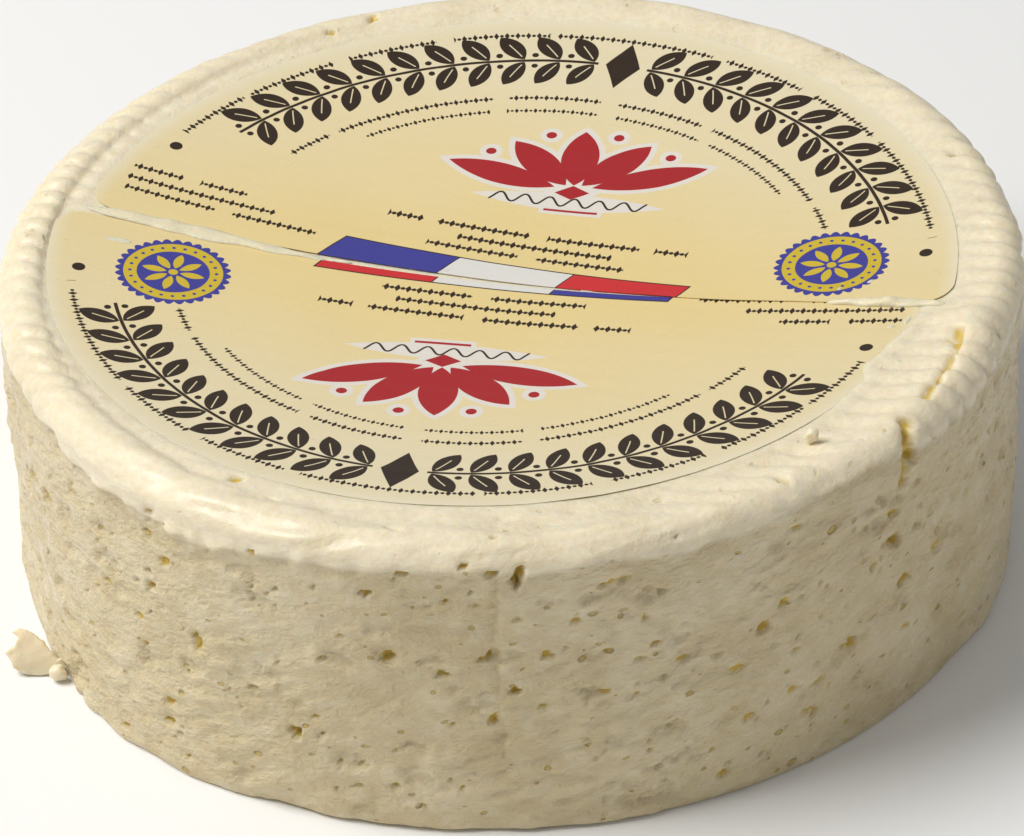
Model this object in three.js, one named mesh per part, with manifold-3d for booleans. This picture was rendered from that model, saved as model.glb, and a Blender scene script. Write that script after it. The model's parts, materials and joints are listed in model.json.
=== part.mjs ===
// A whole wheel of fresh soft cheese with two half-round film labels on its dished top.
// Millimetres, +Z up. The origin is the middle of the flat base that the wheel rests on.
import * as THREE from 'three';
import { mergeVertices } from 'three/addons/utils/BufferGeometryUtils.js';
import Module from 'manifold-3d';

// Driving dimensions of the cheese.
const wheelRadius = 65;
const wheelHeight = 43;
const rimRounding = 4;
const footTuck = 0.3;
const footRounding = 1.2;
const dishFloor = 36.9;
const dishCurve = 0.0015;
const dishRadius = 59;
const wheelSegments = 88;

// Driving dimensions of the torn flake of skin that hangs on at the foot.
const flakeThickness = 2.4;
const flakeLift = 0.6;
const flakeTilt = THREE.MathUtils.degToRad(14);
const flakeHeading = THREE.MathUtils.degToRad(-154);
const flakeRoot = 62.6;

// Driving dimensions of the labels.
const labelRadius = 57;
const labelCorner = 4;
const labelThickness = 0.2;
const labelGap = 0.3;
const overlapWidth = 4;
const overlapRamp = 6;
const slabColumns = 18;
const slabRows = 14;
const outlineSteps = 20;

// The manifold library gives the boolean joins and cuts.
const solids = await Module();
solids.setup();

function toSolid(geometry) {
  // Only the positions are kept, so that vertices shared by neighbouring faces merge.
  const bare = geometry.clone();
  bare.deleteAttribute('normal');
  bare.deleteAttribute('uv');
  const merged = mergeVertices(bare, 1e-4);
  const vertProperties = new Float32Array(merged.attributes.position.array);
  const triVerts = new Uint32Array(merged.index.array);
  return new solids.Manifold(new solids.Mesh({ numProp: 3, vertProperties, triVerts }));
}

function toGeometry(solid) {
  const mesh = solid.getMesh();
  const geometry = new THREE.BufferGeometry();
  geometry.setAttribute('position', new THREE.BufferAttribute(new Float32Array(mesh.vertProperties), 3));
  geometry.setIndex(new THREE.BufferAttribute(new Uint32Array(mesh.triVerts), 1));
  geometry.computeVertexNormals();
  return geometry;
}

function dishHeight(radius) {
  // The top sags towards the middle, as curd does while it drains in its mould.
  return dishFloor + dishCurve * radius * radius;
}

function wheelProfile() {
  // Half of the wheel's section, from the middle of the base round to the middle of the dish.
  const points = [new THREE.Vector2(0, 0)];
  const footRadius = wheelRadius - footTuck;
  const footSteps = 3;
  for (let i = 0; i <= footSteps; i += 1) {
    const turn = -Math.PI / 2 + (Math.PI / 2) * (i / footSteps);
    points.push(new THREE.Vector2(
      footRadius - footRounding + footRounding * Math.cos(turn),
      footRounding + footRounding * Math.sin(turn),
    ));
  }
  const sideSteps = 4;
  const sideTop = wheelHeight - rimRounding;
  for (let i = 1; i < sideSteps; i += 1) {
    const share = i / sideSteps;
    const height = footRounding + (sideTop - footRounding) * share;
    points.push(new THREE.Vector2(wheelRadius - footTuck * (1 - share) ** 2, height));
  }
  const rimSteps = 5;
  for (let i = 0; i <= rimSteps; i += 1) {
    const turn = (Math.PI / 2) * (i / rimSteps);
    points.push(new THREE.Vector2(
      wheelRadius - rimRounding + rimRounding * Math.cos(turn),
      sideTop + rimRounding * Math.sin(turn),
    ));
  }
  const dishSteps = 6;
  for (let i = dishSteps; i >= 0; i -= 1) {
    const radius = dishRadius * (i / dishSteps);
    points.push(new THREE.Vector2(radius, dishHeight(radius)));
  }
  return points;
}

function flakeSolid() {
  // A ragged leaf, narrow at its root and torn at its tip, leaning out from the foot of the wheel.
  const outline = new THREE.Shape([
    new THREE.Vector2(0, -1.4),
    new THREE.Vector2(2.6, -3.2),
    new THREE.Vector2(6.2, -2.6),
    new THREE.Vector2(7.4, -0.4),
    new THREE.Vector2(6.6, 1.2),
    new THREE.Vector2(7.2, 3.4),
    new THREE.Vector2(4.4, 2.8),
    new THREE.Vector2(2.4, 1.2),
    new THREE.Vector2(0, 1.2),
  ]);
  const flake = new THREE.ExtrudeGeometry(outline, { depth: flakeThickness, bevelEnabled: false });
  flake.rotateY(-flakeTilt);
  flake.translate(flakeRoot, 0, flakeLift);
  flake.rotateZ(flakeHeading);
  return toSolid(flake);
}

function cheeseGeometry() {
  // A lathe turns about its own Y axis, so the wheel is stood up along Z afterwards.
  const wheel = new THREE.LatheGeometry(wheelProfile(), wheelSegments);
  wheel.rotateX(Math.PI / 2);
  return toGeometry(toSolid(wheel).add(flakeSolid()));
}

function labelOutline(chord) {
  // Less than half a disc: an arc, and a straight edge joined to it by two round corners.
  const cornerUp = chord + labelCorner;
  const cornerAway = Math.sqrt((labelRadius - labelCorner) ** 2 - cornerUp ** 2);
  const arcStart = Math.atan2(cornerUp, cornerAway);
  const outline = new THREE.Shape();
  outline.moveTo(-cornerAway, chord);
  outline.lineTo(cornerAway, chord);
  outline.absarc(cornerAway, cornerUp, labelCorner, -Math.PI / 2, arcStart, false);
  outline.absarc(0, 0, labelRadius, arcStart, Math.PI - arcStart, false);
  outline.absarc(-cornerAway, cornerUp, labelCorner, Math.PI - arcStart, Math.PI * 1.5, false);
  return outline;
}

function raiseOntoDish(geometry, chord, heading, place, lift) {
  // Every vertex keeps its place in plan and rises by the dish's height there. The label on top
  // is also lifted over the edge of the one below, and comes down again across a short ramp.
  const positions = geometry.attributes.position;
  const turn = new THREE.Matrix4().makeRotationZ(heading);
  const point = new THREE.Vector3();
  for (let i = 0; i < positions.count; i += 1) {
    point.fromBufferAttribute(positions, i);
    const inside = point.y - chord - overlapWidth;
    const raised = 1 - THREE.MathUtils.smoothstep(inside, 0, overlapRamp);
    point.applyMatrix4(turn);
    point.x += place.x;
    point.y += place.y;
    const bed = dishHeight(Math.hypot(point.x, point.y)) + labelGap;
    positions.setXYZ(i, point.x, point.y, point.z + bed + lift * raised);
  }
}

function labelGeometry(chord, heading, place, lift) {
  // A thin slab is bent onto the dish first and trimmed to the outline afterwards, so that the
  // cut edges follow the bend.
  const width = labelRadius * 2 + 2;
  const depth = labelRadius + 2;
  const slab = new THREE.BoxGeometry(width, depth, labelThickness, slabColumns, slabRows, 1);
  slab.translate(0, depth / 2, labelThickness / 2);
  raiseOntoDish(slab, chord, heading, place, lift);
  const cutter = new THREE.ExtrudeGeometry(labelOutline(chord), {
    depth: wheelHeight,
    bevelEnabled: false,
    curveSegments: outlineSteps,
  });
  cutter.rotateZ(heading);
  cutter.translate(place.x, place.y, wheelHeight / 2);
  return toGeometry(toSolid(slab).intersect(toSolid(cutter)));
}

function addPiece(group, name, geometry, color, roughness) {
  const material = new THREE.MeshStandardMaterial({ color, roughness, metalness: 0 });
  const piece = new THREE.Mesh(geometry, material);
  piece.name = name;
  group.add(piece);
}

const cheeseWheel = new THREE.Group();

addPiece(cheeseWheel, 'cheese_wheel', cheeseGeometry(), 0xe9e0c3, 0.75);

// The front label lies on the cheese. At one end the back one covers its straight edge, and at
// the other a narrow strip of cheese shows between the two. A chord is how far a straight edge
// lies from the middle of its label's arc.
const frontChord = 2.6;
const frontPlace = new THREE.Vector2(-1.17, 3.13);
const frontHeading = THREE.MathUtils.degToRad(180 - 15.5);
addPiece(cheeseWheel, 'label_front', labelGeometry(frontChord, frontHeading, frontPlace, 0), 0xe3cf9c, 0.3);

const backChord = 0.2;
const backPlace = new THREE.Vector2(0.9, 0.15);
const backHeading = THREE.MathUtils.degToRad(-16.8);
const backLift = labelThickness + labelGap;
addPiece(cheeseWheel, 'label_back', labelGeometry(backChord, backHeading, backPlace, backLift), 0xe8d9ab, 0.3);

export default cheeseWheel;
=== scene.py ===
# %% [markdown]
# # A fresh cheese wheel with two half-round labels
# The object is a whole wheel of soft white cheese, as it comes out of its mould: a low drum with
# a sagging top, crumbly rims, the print of the draining mat across it and small holes all round.
# Two printed film labels, each less than half a disc, are laid on the top and meet on a seam.
# Everything below is built in metres around the packed model, which gives the wheel's size.

# %% Load the packed model
import json
import math

import bmesh
import bpy
import numpy as np
from mathutils import Matrix, Vector

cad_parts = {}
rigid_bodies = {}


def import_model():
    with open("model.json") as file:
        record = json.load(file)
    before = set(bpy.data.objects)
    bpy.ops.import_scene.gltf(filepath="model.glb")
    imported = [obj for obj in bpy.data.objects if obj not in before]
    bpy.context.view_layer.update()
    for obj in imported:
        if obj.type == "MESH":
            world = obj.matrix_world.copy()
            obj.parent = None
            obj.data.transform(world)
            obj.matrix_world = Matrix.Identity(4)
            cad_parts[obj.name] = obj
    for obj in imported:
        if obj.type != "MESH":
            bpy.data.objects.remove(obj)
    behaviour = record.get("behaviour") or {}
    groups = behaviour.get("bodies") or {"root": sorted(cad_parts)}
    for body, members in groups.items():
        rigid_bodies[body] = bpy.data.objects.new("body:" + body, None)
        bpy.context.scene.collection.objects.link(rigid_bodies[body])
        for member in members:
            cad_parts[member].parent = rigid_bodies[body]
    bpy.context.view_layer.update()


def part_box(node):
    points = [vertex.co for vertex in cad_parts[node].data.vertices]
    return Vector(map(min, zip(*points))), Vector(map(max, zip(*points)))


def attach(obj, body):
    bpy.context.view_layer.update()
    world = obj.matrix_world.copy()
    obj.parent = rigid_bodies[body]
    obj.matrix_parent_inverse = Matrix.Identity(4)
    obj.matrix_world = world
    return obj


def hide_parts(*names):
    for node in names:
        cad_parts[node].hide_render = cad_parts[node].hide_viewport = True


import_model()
MM = 0.001
wheel_low, wheel_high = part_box("cheese_wheel")
WHEEL_RADIUS = (wheel_high.x - wheel_low.x) / 2
WHEEL_HEIGHT = wheel_high.z
print("wheel radius", round(WHEEL_RADIUS / MM, 1), "mm, height", round(WHEEL_HEIGHT / MM, 1), "mm")

# %% [markdown]
# ## Camera
# A wheel of cheese is usually shown from a little above, far enough away that its sides stay
# upright. A long lens does that: the camera stands back by several wheel widths and looks down.
# It leans a touch to one side, as a hand-held camera does, and there is no depth of field.

# %% The camera
CAMERA_DISTANCE = 0.715
CAMERA_DIP = math.radians(34.68)
CAMERA_LEAN = math.radians(-2.76)
CAMERA_AIM = Vector((0.00025, -0.00226, 0.01797))
LENS_MM = 194.2
SENSOR_MM = 36
FARTHEST = 10


def make_camera():
    data = bpy.data.cameras.new("camera")
    data.lens = LENS_MM
    data.sensor_width = SENSOR_MM
    data.clip_end = FARTHEST
    camera = bpy.data.objects.new("camera", data)
    middle = Vector((0, 0, WHEEL_HEIGHT / 2))
    away = Vector((0, -math.cos(CAMERA_DIP), math.sin(CAMERA_DIP)))
    camera.location = middle + CAMERA_DISTANCE * away
    look = (CAMERA_AIM - camera.location).to_track_quat("-Z", "Y")
    camera.rotation_euler = (look.to_matrix() @ Matrix.Rotation(CAMERA_LEAN, 3, "Z")).to_euler()
    bpy.context.scene.collection.objects.link(camera)
    bpy.context.scene.camera = camera
    return camera


camera = make_camera()
print("camera at", [round(c, 3) for c in camera.location])

# %% [markdown]
# ## Light and floor
# Moist cheese is shown best by one broad soft light from the side and above, which rakes over the
# pits, and an even pale room that fills the shade. The key is a large area light on the upper
# left, and a weak one on the right keeps that side from going dull.
# The floor is plain and pale, so that nothing draws the eye from the cheese.

# %% The room, the key light and the fill light
ROOM_STRENGTH = 0.29
ROOM_COLOR = (0.97, 0.985, 1.0, 1)
KEY_PLACE = Vector((-0.62, -0.03, 0.93))
KEY_POWER = 11.6
KEY_SIZE = 0.7
KEY_COLOR = (1.0, 0.985, 0.95)
FILL_PLACE = Vector((0.8, -0.5, 0.35))
FILL_POWER = 0.6
FILL_SIZE = 0.9
FILL_COLOR = (1.0, 0.99, 0.97)


def add_area_light(name, place, size, power, color):
    data = bpy.data.lights.new(name, "AREA")
    data.shape = "DISK"
    data.size = size
    data.energy = power
    data.color = color
    light = bpy.data.objects.new(name, data)
    light.location = place
    light.rotation_euler = (CAMERA_AIM - light.location).to_track_quat("-Z", "Y").to_euler()
    bpy.context.scene.collection.objects.link(light)


room = bpy.data.worlds.new("room")
room.use_nodes = True
backdrop = room.node_tree.nodes["Background"]
backdrop.inputs["Color"].default_value = ROOM_COLOR
backdrop.inputs["Strength"].default_value = ROOM_STRENGTH
bpy.context.scene.world = room
bpy.context.scene.view_settings.view_transform = "Standard"
add_area_light("key_light", KEY_PLACE, KEY_SIZE, KEY_POWER, KEY_COLOR)
add_area_light("fill_light", FILL_PLACE, FILL_SIZE, FILL_POWER, FILL_COLOR)

# %% The floor, finished in plain pale paint
FLOOR_SIZE = 6.0
FLOOR_TONE = (0.9, 0.9, 0.9, 1)
FLOOR_ROUGHNESS = 0.6


def make_floor():
    bm = bmesh.new()
    bmesh.ops.create_grid(bm, x_segments=1, y_segments=1, size=FLOOR_SIZE / 2)
    mesh = bpy.data.meshes.new("floor")
    bm.to_mesh(mesh)
    bm.free()
    floor = bpy.data.objects.new("floor", mesh)
    bpy.context.scene.collection.objects.link(floor)
    paint = bpy.data.materials.new("floor_paint")
    paint.use_nodes = True
    shader = paint.node_tree.nodes["Principled BSDF"]
    shader.inputs["Base Color"].default_value = FLOOR_TONE
    shader.inputs["Roughness"].default_value = FLOOR_ROUGHNESS
    mesh.materials.append(paint)


make_floor()
print("floor", FLOOR_SIZE, "m across")

# %% [markdown]
# ## Shader maths as Python
# A printed label or a curd pattern is mostly sums and comparisons. Wiring them by hand hides the
# idea, so one small class wraps a socket and lets Python's own operators add the Math nodes.
# Any other node comes from one method: its type, its settings, then what its sockets receive.

# %% A socket that takes part in expressions


class Wire:
    """An output socket of a material's nodes, usable in Python expressions."""

    def __init__(self, socket):
        self.socket = socket

    def node(self, kind, settings=None, inputs=None, output=0):
        made = self.socket.id_data.nodes.new(kind)
        for name, value in (settings or {}).items():
            if name == "stops":
                while len(made.color_ramp.elements) < len(value):
                    made.color_ramp.elements.new(0.5)
                for stop, (position, color) in zip(made.color_ramp.elements, value):
                    stop.position = position
                    stop.color = color
            else:
                setattr(made, name, value)
        for key, value in (inputs or {}).items():
            self.plug(made.inputs[key], value)
        return Wire(made.outputs[output])

    def plug(self, socket, value):
        if isinstance(value, Wire):
            self.socket.id_data.links.new(value.socket, socket)
        else:
            socket.default_value = value

    def out(self, name):
        return Wire(self.socket.node.outputs[name])

    def math(self, operation, *others):
        inputs = dict(enumerate((self, *others)))
        return self.node("ShaderNodeMath", {"operation": operation}, inputs)

    def flipped(self, operation, other):
        return self.node("ShaderNodeMath", {"operation": operation}, {0: other, 1: self})

    def __add__(self, other):
        return self.math("ADD", other)

    __radd__ = __add__

    def __sub__(self, other):
        return self.math("SUBTRACT", other)

    def __rsub__(self, other):
        return self.flipped("SUBTRACT", other)

    def __mul__(self, other):
        return self.math("MULTIPLY", other)

    __rmul__ = __mul__

    def __truediv__(self, other):
        return self.math("DIVIDE", other)

    def __neg__(self):
        return self.math("MULTIPLY", -1.0)

    def __abs__(self):
        return self.math("ABSOLUTE")

    def length(self, other):
        """The length of the flat vector (self, other)."""
        return (self * self + other * other).math("SQRT")

    def least(self, other):
        return self.math("MINIMUM", other)

    def between(self, low, high):
        """0 below low, 1 above high, and a straight ramp in between."""
        inputs = {"Value": self, "From Min": low, "From Max": high}
        return self.node("ShaderNodeMapRange", {"clamp": True}, inputs)

    def mix(self, other, share):
        """This colour where share is 0, the other where it is 1."""
        inputs = {0: share, 6: self, 7: other}
        return self.node("ShaderNodeMix", {"data_type": "RGBA"}, inputs, 2)


def tone(red, green, blue):
    """A colour for a socket, in linear light."""
    return (red, green, blue, 1.0)


def new_finish(name):
    """A new material, its main shader and a wire to start expressions from."""
    material = bpy.data.materials.new(name)
    material.use_nodes = True
    shader = material.node_tree.nodes["Principled BSDF"]
    return material, shader, Wire(shader.outputs[0])


print("Wire understands", [name for name in vars(Wire) if name.startswith("__")])

# %% [markdown]
# ## Noise for moving vertices
# The lumps of the curd are moved vertices, as in sculpting, so the same noise has to be known in
# Python. Random numbers sit on a cubic lattice, and each point blends the eight around it. The
# lattice is seeded, so that every run gives the same cheese.

# %% Lattice noise and soft steps
LATTICE = 32


def noise(points, size, seed):
    """Smooth noise from -1 to 1 at the points, with lumps about size across."""
    table = np.random.default_rng(seed).uniform(-1, 1, (LATTICE, LATTICE, LATTICE))
    cell = points / size
    low = np.floor(cell).astype(int)
    share = cell - low
    share = share * share * (3 - 2 * share)
    total = np.zeros(len(points))
    for corner in np.ndindex(2, 2, 2):
        weight = np.prod(np.where(corner, share, 1 - share), axis=1)
        index = (low + corner) % LATTICE
        total += weight * table[index[:, 0], index[:, 1], index[:, 2]]
    return total


def soft_step(value, low, high):
    """0 below low, 1 above high, and smooth between."""
    share = np.clip((value - low) / (high - low), 0, 1)
    return share * share * (3 - 2 * share)


print("noise of one point:", noise(np.array([[0.3, 0.2, 0.1]]), 1.0, 1))

# %% [markdown]
# ## Where the labels lie
# The top sags towards the middle, and the labels lie in that bowl, so both need the same heights.
# Each label has a frame of its own: the middle of its arc, the way its seam edge runs, and how
# far that edge lies from the middle. From these comes how far any spot is outside both labels,
# which later tells the curd where it may rise.

# %% Label frames and the dish
LABEL_EDGE = 57.0
SEAM_TURN = math.radians(-16.8)
FRONT = {"turn": math.radians(164.5), "place": (-1.17, 3.13), "chord": 2.6}
BACK = {"turn": SEAM_TURN, "place": (0.9, 0.15), "chord": 0.2}
DISH_FLOOR = 36.9
DISH_CURVE = 0.0015
MAT_PITCH = 3.3
FILM_RISE = 0.2
FILM_RIBS = 0.05
FILM_WAVES = 0.07


def dish_height(radius):
    """The sagging top, in millimetres: a shallow bowl."""
    return DISH_FLOOR + DISH_CURVE * radius * radius


def past_label(points, label):
    """How far points lie outside one label, in millimetres. It is negative on the label."""
    x = points[:, 0] - label["place"][0]
    y = points[:, 1] - label["place"][1]
    across = y * math.cos(label["turn"]) - x * math.sin(label["turn"])
    return np.maximum(np.hypot(x, y) - LABEL_EDGE, label["chord"] - across)


def mat_print(points):
    """The draining mat's ribs, from 0 in the grooves to 1 on the ribs."""
    across = points[:, 1] * math.cos(SEAM_TURN) - points[:, 0] * math.sin(SEAM_TURN)
    wander = 1.1 * noise(points, 16.0, 5) + 0.4 * noise(points, 7.5, 6)
    return np.abs(np.cos(math.pi * (across + wander) / MAT_PITCH)) ** 0.7


def film_rise(points):
    """How far the film's underside lies above the plain dish: the ribs show through a little."""
    return FILM_RISE + FILM_RIBS * (mat_print(points) - 0.5) + FILM_WAVES * noise(points, 9.0, 61)


print("dish:", dish_height(0), "mm high in the middle")
print("at the labels' edge:", round(dish_height(LABEL_EDGE), 1), "mm")

# %% [markdown]
# ## The cheese: its plain form
# Fresh cheese takes the shape of its mould, a plain drum, so its plain form is turned: half of the
# section is drawn as a row of vertices and spun about the upright axis. The rows stand half a
# millimetre apart on the side and the rim, where curd texture follows, and wide apart elsewhere.

# %% The wheel's section, spun
TURN_STEPS = 800
GRAIN = 0.5
FOOT_TUCK = 0.3
FOOT_ROUND = 1.2
RIM_ROUND = 3.2
RADIUS = WHEEL_RADIUS / MM
HEIGHT = WHEEL_HEIGHT / MM
RIM_INNER = RADIUS - RIM_ROUND
FINE_INNER = 52.0
FOOT_POINTS = 5
RIM_POINTS = 11
CREST_SHARE = 0.33
MIDDLE_SHARES = (0.9, 0.75, 0.58, 0.4, 0.2, 0)


def section_points():
    """Distances from the axis and heights, from the middle of the base to that of the top."""
    foot = RADIUS - FOOT_TUCK
    points = [(0, 0), (0.5 * foot, 0), (foot - 3 * FOOT_ROUND, 0)]
    for turn in np.linspace(-math.pi / 2, 0, FOOT_POINTS):
        points.append((foot + FOOT_ROUND * (math.cos(turn) - 1), FOOT_ROUND * (1 + math.sin(turn))))
    side_top = HEIGHT - RIM_ROUND
    side_rows = round((side_top - FOOT_ROUND) / GRAIN)
    for share in np.linspace(0, 1, side_rows + 1)[1:-1]:
        level = FOOT_ROUND + (side_top - FOOT_ROUND) * share
        points.append((RADIUS - FOOT_TUCK * (1 - share) ** 2, level))
    for turn in np.linspace(0, math.pi / 2, RIM_POINTS):
        level = side_top + RIM_ROUND * math.sin(turn)
        points.append((RIM_INNER + RIM_ROUND * math.cos(turn), level))
    top_rows = round((RIM_INNER - FINE_INNER) / GRAIN)
    for share in np.linspace(0, 1, top_rows + 1)[1:]:
        radius = RIM_INNER - (RIM_INNER - FINE_INNER) * share
        crest = 1 - soft_step(share, 0, CREST_SHARE)
        points.append((radius, dish_height(radius) * (1 - crest) + HEIGHT * crest))
    for share in MIDDLE_SHARES:
        points.append((FINE_INNER * share, dish_height(FINE_INNER * share)))
    return points


def spin_section(name, points, steps):
    bm = bmesh.new()
    row = [bm.verts.new((radius * MM, 0, height * MM)) for radius, height in points]
    edges = [bm.edges.new(pair) for pair in zip(row, row[1:])]
    bmesh.ops.spin(
        bm,
        geom=row + edges,
        cent=(0, 0, 0),
        axis=(0, 0, 1),
        angle=2 * math.pi,
        steps=steps,
        use_merge=True,
    )
    bmesh.ops.remove_doubles(bm, verts=bm.verts, dist=0.001 * MM)
    bmesh.ops.recalc_face_normals(bm, faces=bm.faces)
    for face in bm.faces:
        face.smooth = True
    mesh = bpy.data.meshes.new(name)
    bm.to_mesh(mesh)
    bm.free()
    return mesh


cheese_mesh = spin_section("cheese", section_points(), TURN_STEPS)
print("cheese:", len(section_points()), "rows,", len(cheese_mesh.vertices), "vertices")

# %% [markdown]
# ## The cheese: what the mould, the mat and the hands left on it
# Several things shape the skin. The curd settles in soft lumps, the foot spreads unevenly, and
# the whole drum is a little out of round. A creamy cap is folded over the upper edge, with a torn
# ledge on the left and long strokes of a hand at the front. The draining mat prints parallel ribs
# on the top, which run along the labels' seam. Each is one term of a distance, in millimetres, by
# which a vertex moves along its normal.

# %% Where each vertex is
def read_vectors(collection, name):
    values = np.empty(len(collection) * 3, np.float32)
    collection.foreach_get(name, values)
    return values.reshape(-1, 3).astype(float)


skin = read_vectors(cheese_mesh.vertices, "co") / MM
normal = read_vectors(cheese_mesh.vertex_normals, "vector")
around = np.degrees(np.arctan2(skin[:, 1], skin[:, 0]))
radius = np.hypot(skin[:, 0], skin[:, 1])
height = skin[:, 2]
above = height > 0.5 * HEIGHT
upward = soft_step(normal[:, 2], 0.3, 0.8)
sideways = 1 - soft_step(np.abs(normal[:, 2]), 0.3, 0.8)


def near_turn(angle, spread):
    """1 on the side that faces an angle in degrees, and less on either hand."""
    turn = (around - angle + 180) % 360 - 180
    return np.exp(-((turn / spread) ** 2))


print("side vertices:", int(sideways.sum()), "top vertices:", int(upward.sum()))

# %% [markdown]
# ### Where the curd meets the film
# Under the film the curd has to stay just below it, and beside the film it may rise to the film's
# upper face and further. At the right end of the seam it was smeared over the film's corner.

# %% The curd next to the labels
SEAT = 0.3
EDGE_SEAT = 0.06
FILM = 0.07

smeared = near_turn(-31, 11) * (0.8 + 0.5 * noise(skin, 4.0, 63)) * 2.6
outside = np.minimum(past_label(skin, FRONT), past_label(skin, BACK))
outside += 0.2 * noise(skin, 6.0, 64) + smeared * upward
free = soft_step(outside, 0.3, 2.6)
beside = soft_step(outside, 0.0, 0.9)
tuck = SEAT - (SEAT - EDGE_SEAT) * soft_step(outside, -3.5, -0.6)
seat = film_rise(skin) + (tuck + FILM + 0.12 * smeared) * beside - tuck
bedded = (above & (radius < RIM_INNER)) * (1 - soft_step(outside, 0.8, 3.5))
print("vertices beside the labels:", int((bedded > 0.5).sum()))

# %% Soft lumps, the wavy foot and the drum's lean
GRAIN_SLANT = 0.75
LEAN_LIST = [
    # angle (degrees), height (mm), spread (degrees), spread (mm), outward (mm)
    (-127, 4, 22, 16, 0.9),
    (-163, 9, 9, 9, -1.1),
    (-47, 3, 20, 12, -0.7),
    (-22, 12, 12, 14, 0.9),
    (-141, 2, 12, 9, 0.6),
    (150, 38, 16, 12, 0.6),
    (-150, 37, 14, 5, -0.5),
]
lumps = 0.34 * noise(skin, 13.0, 21) + 0.20 * noise(skin, 5.5, 22) + 0.08 * noise(skin, 2.2, 23)
slanted_skin = skin * np.array([1.0, 1.0, 2.4])
slanted_skin[:, 2] -= GRAIN_SLANT * skin[:, 0]
pasty = soft_step(noise(skin, 11.0, 24), -0.15, 0.35)
grains = 0.30 * noise(slanted_skin, 3.6, 25) + 0.20 * noise(slanted_skin, 1.7, 26)
lumps += (0.35 + 0.65 * pasty) * grains
foot_waves = 0.5 * noise(skin, 4.5, 27) * np.exp(-((height / 3.5) ** 2))
lean = np.zeros(len(skin))
for angle, level, spread, rise, amount in LEAN_LIST:
    lean += amount * near_turn(angle, spread) * np.exp(-(((height - level) / rise) ** 2))
print("lumps up to", round(lumps.max(), 2), "mm, lean up to", round(lean.max(), 2), "mm")

# %% The creamy cap, its torn ledge and its long strokes
CAP_DROP = 3.4
STROKE_LENGTH = 11.0
STROKE_WIDTH = 2.0
STROKE_SLANT = 0.16

cap_edge = HEIGHT - CAP_DROP + 1.7 * noise(skin, 14.0, 11) + 0.8 * noise(skin, 3.8, 12)
cap_edge -= 1.6 * near_turn(-138, 22)
cap = soft_step(height - cap_edge, -0.7, 0.7) * above
ledge = near_turn(-128, 24) * np.exp(-(((height - cap_edge) / 1.1) ** 2)) * above
craggy = 0.2 + 0.8 * np.maximum(near_turn(-56, 14), near_turn(-165, 10))
torn = craggy * (0.26 * noise(skin, 3.2, 32) + 0.10 * noise(skin, 1.5, 33))
torn += 0.30 * noise(skin, 8.0, 31)
arc = np.radians(around) * RADIUS
outward = radius - LABEL_EDGE + HEIGHT - height
across_stroke = (outward + STROKE_SLANT * arc) / STROKE_WIDTH
strokes = np.c_[arc / STROKE_LENGTH, across_stroke, outward / 30]
torn += near_turn(-106, 36) * (0.75 * np.abs(noise(strokes, 1.0, 35)) - 0.25)
print("vertices on the cap:", int((cap > 0.5).sum()))

# %% The mat's ribs, and one pillow of curd beside the labels
RIB_DEPTH = 0.85
RIB_LEVEL = 0.72
PILLOW = (56.0, -20.2, 42.9)
PILLOW_WIDTH = 3.0
PILLOW_RISE = 1.2

rib_side = 0.12 + 0.88 * np.maximum(near_turn(165, 42), near_turn(-8, 52))
rib_strength = np.clip(0.8 + 1.1 * noise(skin, 8.0, 36), 0.1, 1.5)
ribs = RIB_DEPTH * rib_side * (mat_print(skin) - RIB_LEVEL) * rib_strength
pillow = np.exp(-((skin - PILLOW) ** 2).sum(axis=1) / PILLOW_WIDTH**2)
ribs = ribs * (1 - pillow) + PILLOW_RISE * pillow
print("ribs from", round(ribs.min(), 2), "to", round(ribs.max(), 2), "mm")

# %% Add the terms up
move = sideways * (lumps * (1 - 0.6 * cap) + lean + foot_waves)
move += sideways * ledge * (0.3 + 0.7 * noise(skin, 2.2, 37))
move += sideways * cap * (0.22 + 0.28 * near_turn(-140, 28) + 0.7 * torn)
move += upward * free * (torn + 0.05) * above
move += np.maximum(cap, upward * above) * free * ribs * (1 - 0.35 * sideways)
move = move * (1 - bedded * beside * 0.6) + bedded * seat
print("moves from", round(move.min(), 2), "to", round(move.max(), 2), "mm")

# %% [markdown]
# ## The cheese: holes
# The side is pricked with small openings where the grains of curd didn't join. They are irregular,
# wider than tall more often than not, and a deeper yellow inside. A hole is pressed in: vertices
# near its middle move inwards, and those just outside its edge rise into a small lip. How deep a
# vertex lies in a hole is stored as an attribute, which colours it later.

# %% How one hole is pressed in
HOLE_EDGE = (0.55, 1.1)
LIP_REACH = 1.35
LIP_WIDTH = 0.25
LIP_RISE = 0.18
hollow = np.zeros(len(skin))
wobble = noise(skin, 0.9, 41) * 0.7 + noise(skin, 2.0, 42) * 0.35


def press_hole(middle, wide, tall, depth, tilt, stain):
    """Press one hole at the vertex numbered middle. Sizes in millimetres, tilt in radians."""
    offset = skin - skin[middle]
    near = np.flatnonzero(np.abs(offset).max(axis=1) < 2.4 * max(wide, tall))
    along = np.cross((0.0, 0.0, 1.0), normal[middle])
    along /= np.linalg.norm(along) + 1e-9
    up = np.cross(normal[middle], along)
    x = offset[near] @ along
    y = offset[near] @ up
    across = (x * math.cos(tilt) + y * math.sin(tilt)) / wide
    rise = (y * math.cos(tilt) - x * math.sin(tilt)) / tall
    reach = np.hypot(across, rise) + wobble[near]
    pressed = 1 - soft_step(reach, *HOLE_EDGE)
    lip = np.exp(-(((reach - LIP_REACH) / LIP_WIDTH) ** 2)) * (rise < 0.2)
    move[near] += LIP_RISE * lip * depth - pressed * depth
    hollow[near] = np.maximum(hollow[near], pressed * stain)


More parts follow.
